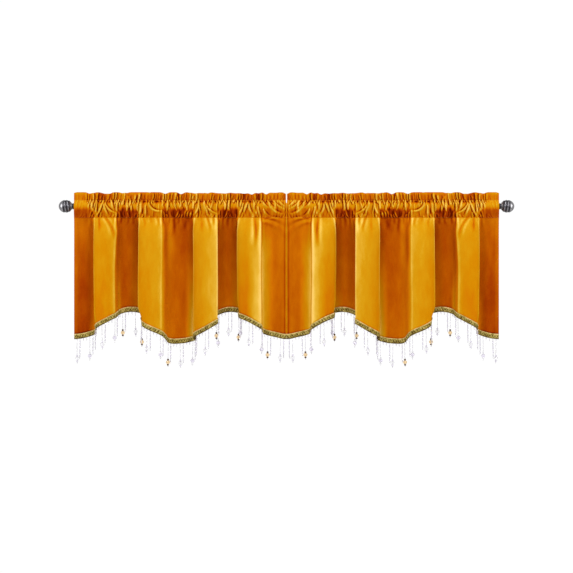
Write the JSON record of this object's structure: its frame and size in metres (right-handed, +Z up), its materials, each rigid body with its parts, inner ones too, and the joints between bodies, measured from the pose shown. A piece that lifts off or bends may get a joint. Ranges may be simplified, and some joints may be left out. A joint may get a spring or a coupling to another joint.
{
  "type": "fringed curtain valances on a curtain rod",
  "caption": "Pair of gathered velvet valance curtains with scalloped hems, olive braid and beaded fringe, hanging on a slim rod with ribbed ball finials.",
  "frame": {"origin": "the rod's axis at the middle of its length", "axes": "+X along the rod, the front of the cloth faces -Y, +Z up"},
  "size_m": [1.3774, 0.0663, 0.5295],
  "materials": {
    "velvet": "gold velvet pile",
    "braid": "woven olive gold braid with beaded strings",
    "pewter": "dark pewter, satin"
  },
  "bodies": {
    "root": {"rod": "pewter", "collar_left": "pewter", "collar_right": "pewter", "ball_left": "pewter", "ball_right": "pewter", "valance_left": "velvet", "valance_right": "velvet", "fringe_left": "braid", "fringe_right": "braid"}
  },
  "joints": []
}
